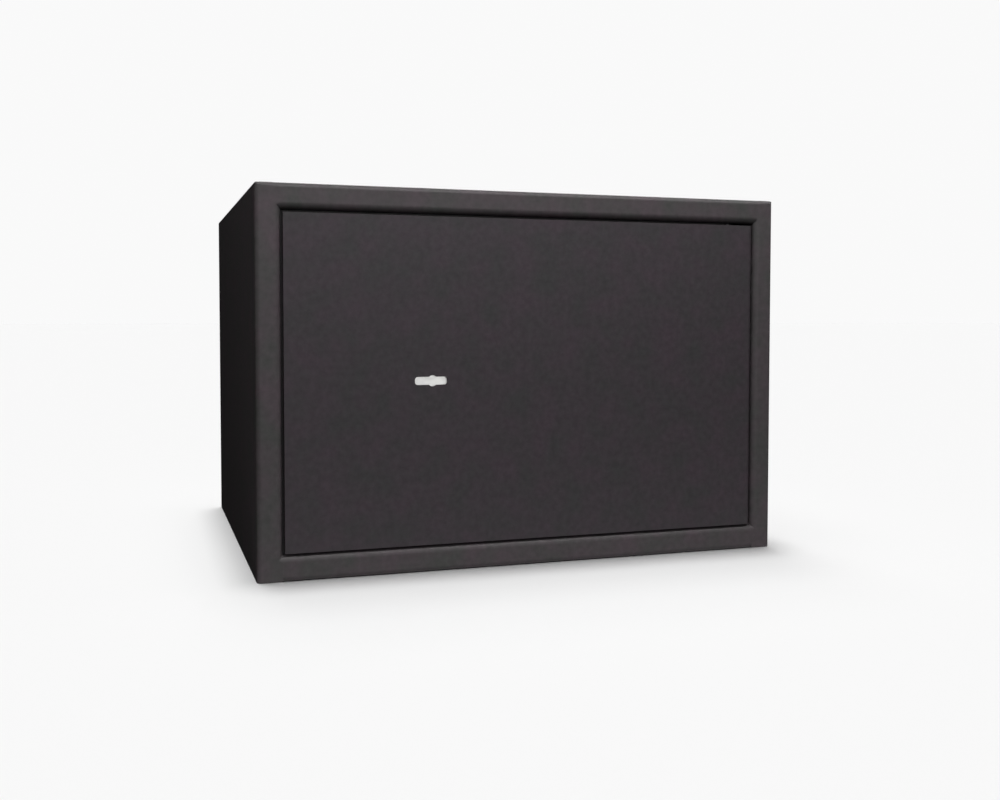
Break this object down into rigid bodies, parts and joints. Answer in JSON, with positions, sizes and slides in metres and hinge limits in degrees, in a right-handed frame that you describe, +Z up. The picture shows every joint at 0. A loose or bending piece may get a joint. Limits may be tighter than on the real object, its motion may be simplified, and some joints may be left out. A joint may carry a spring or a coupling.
{
  "type": "freestanding safe",
  "caption": "Key-operated freestanding steel safe with a nearly flush hinged door, sliding bolts driven by a lever lock, and an inside shelf.",
  "frame": {"origin": "under the middle of the cabinet, on the surface that it stands on", "axes": "+X to the right along the width, +Z up, and the door faces -Y"},
  "size_m": [0.44, 0.35, 0.3],
  "materials": {
    "cabinet_coat": "fine matte anthracite powder coat",
    "door_coat": "fine matte anthracite powder coat",
    "zinc_plate": "bright zinc plate",
    "bright_steel": "satin nickel plate",
    "steel": "plain turned and milled steel",
    "dark_steel": "blackened hardened steel",
    "brass": "stamped and lightly polished",
    "felt": "needled felt"
  },
  "bodies": {
    "cabinet": {"left_side_panel": "cabinet_coat", "right_side_panel": "cabinet_coat", "top_panel": "cabinet_coat", "bottom_panel": "cabinet_coat", "back_panel": "cabinet_coat", "left_stop_strip": "cabinet_coat", "top_stop_strip": "cabinet_coat", "bottom_stop_strip": "cabinet_coat", "upper_hinge_bush": "cabinet_coat", "lower_hinge_bush": "cabinet_coat", "thrust_washer": "dark_steel", "shelf": "cabinet_coat", "left_shelf_rail": "zinc_plate", "right_shelf_rail": "zinc_plate", "floor_mat": "felt"},
    "door": {"door_plate": "door_coat", "hard_plate": "dark_steel", "upper_hinge_block": "door_coat", "lower_hinge_block": "door_coat", "upper_hinge_pin": "dark_steel", "lower_hinge_pin": "dark_steel", "hinge_set_screws": "dark_steel", "dog_bar": "door_coat", "bolt_guide": "zinc_plate", "guide_studs": "steel", "guide_washers": "zinc_plate", "guide_nuts": "zinc_plate", "lock_case": "zinc_plate", "lock_cover": "zinc_plate", "lock_screws": "zinc_plate", "lever_post": "steel", "lever_spacer": "zinc_plate", "lever_stop_pin": "steel", "spring_block": "zinc_plate", "lever_springs": "bright_steel", "bearing_bridge": "zinc_plate", "bridge_spacers": "zinc_plate", "bridge_screws": "zinc_plate", "cover_posts": "steel", "inner_cover": "cabinet_coat", "cover_screws": "zinc_plate", "flap_pin": "steel", "flap_spring": "bright_steel"},
    "boltwork": {"bolt_carriage": "zinc_plate", "upper_bolt": "bright_steel", "lower_bolt": "bright_steel", "bolt_screws": "dark_steel", "lever_stump": "steel"},
    "follower": {"key_follower": "steel"},
    "flap": {"keyhole_flap": "bright_steel"},
    "lever_1": {"lever_1": "brass"},
    "lever_2": {"lever_2": "brass"},
    "lever_3": {"lever_3": "brass"},
    "lever_4": {"lever_4": "brass"},
    "lever_5": {"lever_5": "brass"},
    "lever_6": {"lever_6": "brass"}
  },
  "joints": [
    {"name": "door_swing", "type": "hinge", "parent": "cabinet", "child": "door", "pos_m": [0.1806, -0.165, 0.15], "axis": [0, 0, 1], "range_deg": [0, 100]},
    {"name": "bolt_throw", "type": "slide", "parent": "door", "child": "boltwork", "axis": [-1, 0, 0], "range_m": [0, 0.02199]},
    {"name": "key_turn", "type": "hinge", "parent": "door", "child": "follower", "pos_m": [-0.0836, -0.145, 0.15], "axis": [0, 1, 0], "range_deg": [0, 180]},
    {"name": "flap_swing", "type": "hinge", "parent": "door", "child": "flap", "pos_m": [-0.0836, -0.1711, 0.1562], "axis": [1, 0, 0], "range_deg": [0, 85], "stiffness_Nm_per_rad": 0.001, "springref_deg": -28.65},
    {"name": "lever_1_drop", "type": "hinge", "parent": "door", "child": "lever_1", "pos_m": [-0.0466, -0.15, 0.15], "axis": [0, 1, 0], "range_deg": [-3, 0], "stiffness_Nm_per_rad": 0.1, "springref_deg": -17.19},
    {"name": "lever_2_drop", "type": "hinge", "parent": "door", "child": "lever_2", "pos_m": [-0.0466, -0.15, 0.15], "axis": [0, 1, 0], "range_deg": [-3, 0], "stiffness_Nm_per_rad": 0.1, "springref_deg": -17.19},
    {"name": "lever_3_drop", "type": "hinge", "parent": "door", "child": "lever_3", "pos_m": [-0.0466, -0.15, 0.15], "axis": [0, 1, 0], "range_deg": [-3, 0], "stiffness_Nm_per_rad": 0.1, "springref_deg": -17.19},
    {"name": "lever_4_drop", "type": "hinge", "parent": "door", "child": "lever_4", "pos_m": [-0.0466, -0.15, 0.15], "axis": [0, 1, 0], "range_deg": [-3, 0], "stiffness_Nm_per_rad": 0.1, "springref_deg": -17.19},
    {"name": "lever_5_drop", "type": "hinge", "parent": "door", "child": "lever_5", "pos_m": [-0.0466, -0.15, 0.15], "axis": [0, 1, 0], "range_deg": [-3, 0], "stiffness_Nm_per_rad": 0.1, "springref_deg": -17.19},
    {"name": "lever_6_drop", "type": "hinge", "parent": "door", "child": "lever_6", "pos_m": [-0.0466, -0.15, 0.15], "axis": [0, 1, 0], "range_deg": [-3, 0], "stiffness_Nm_per_rad": 0.1, "springref_deg": -17.19}
  ],
  "couplings": [
    {"joint": "key_turn", "follows": "bolt_throw", "rad_per_m": 142.86}
  ]
}
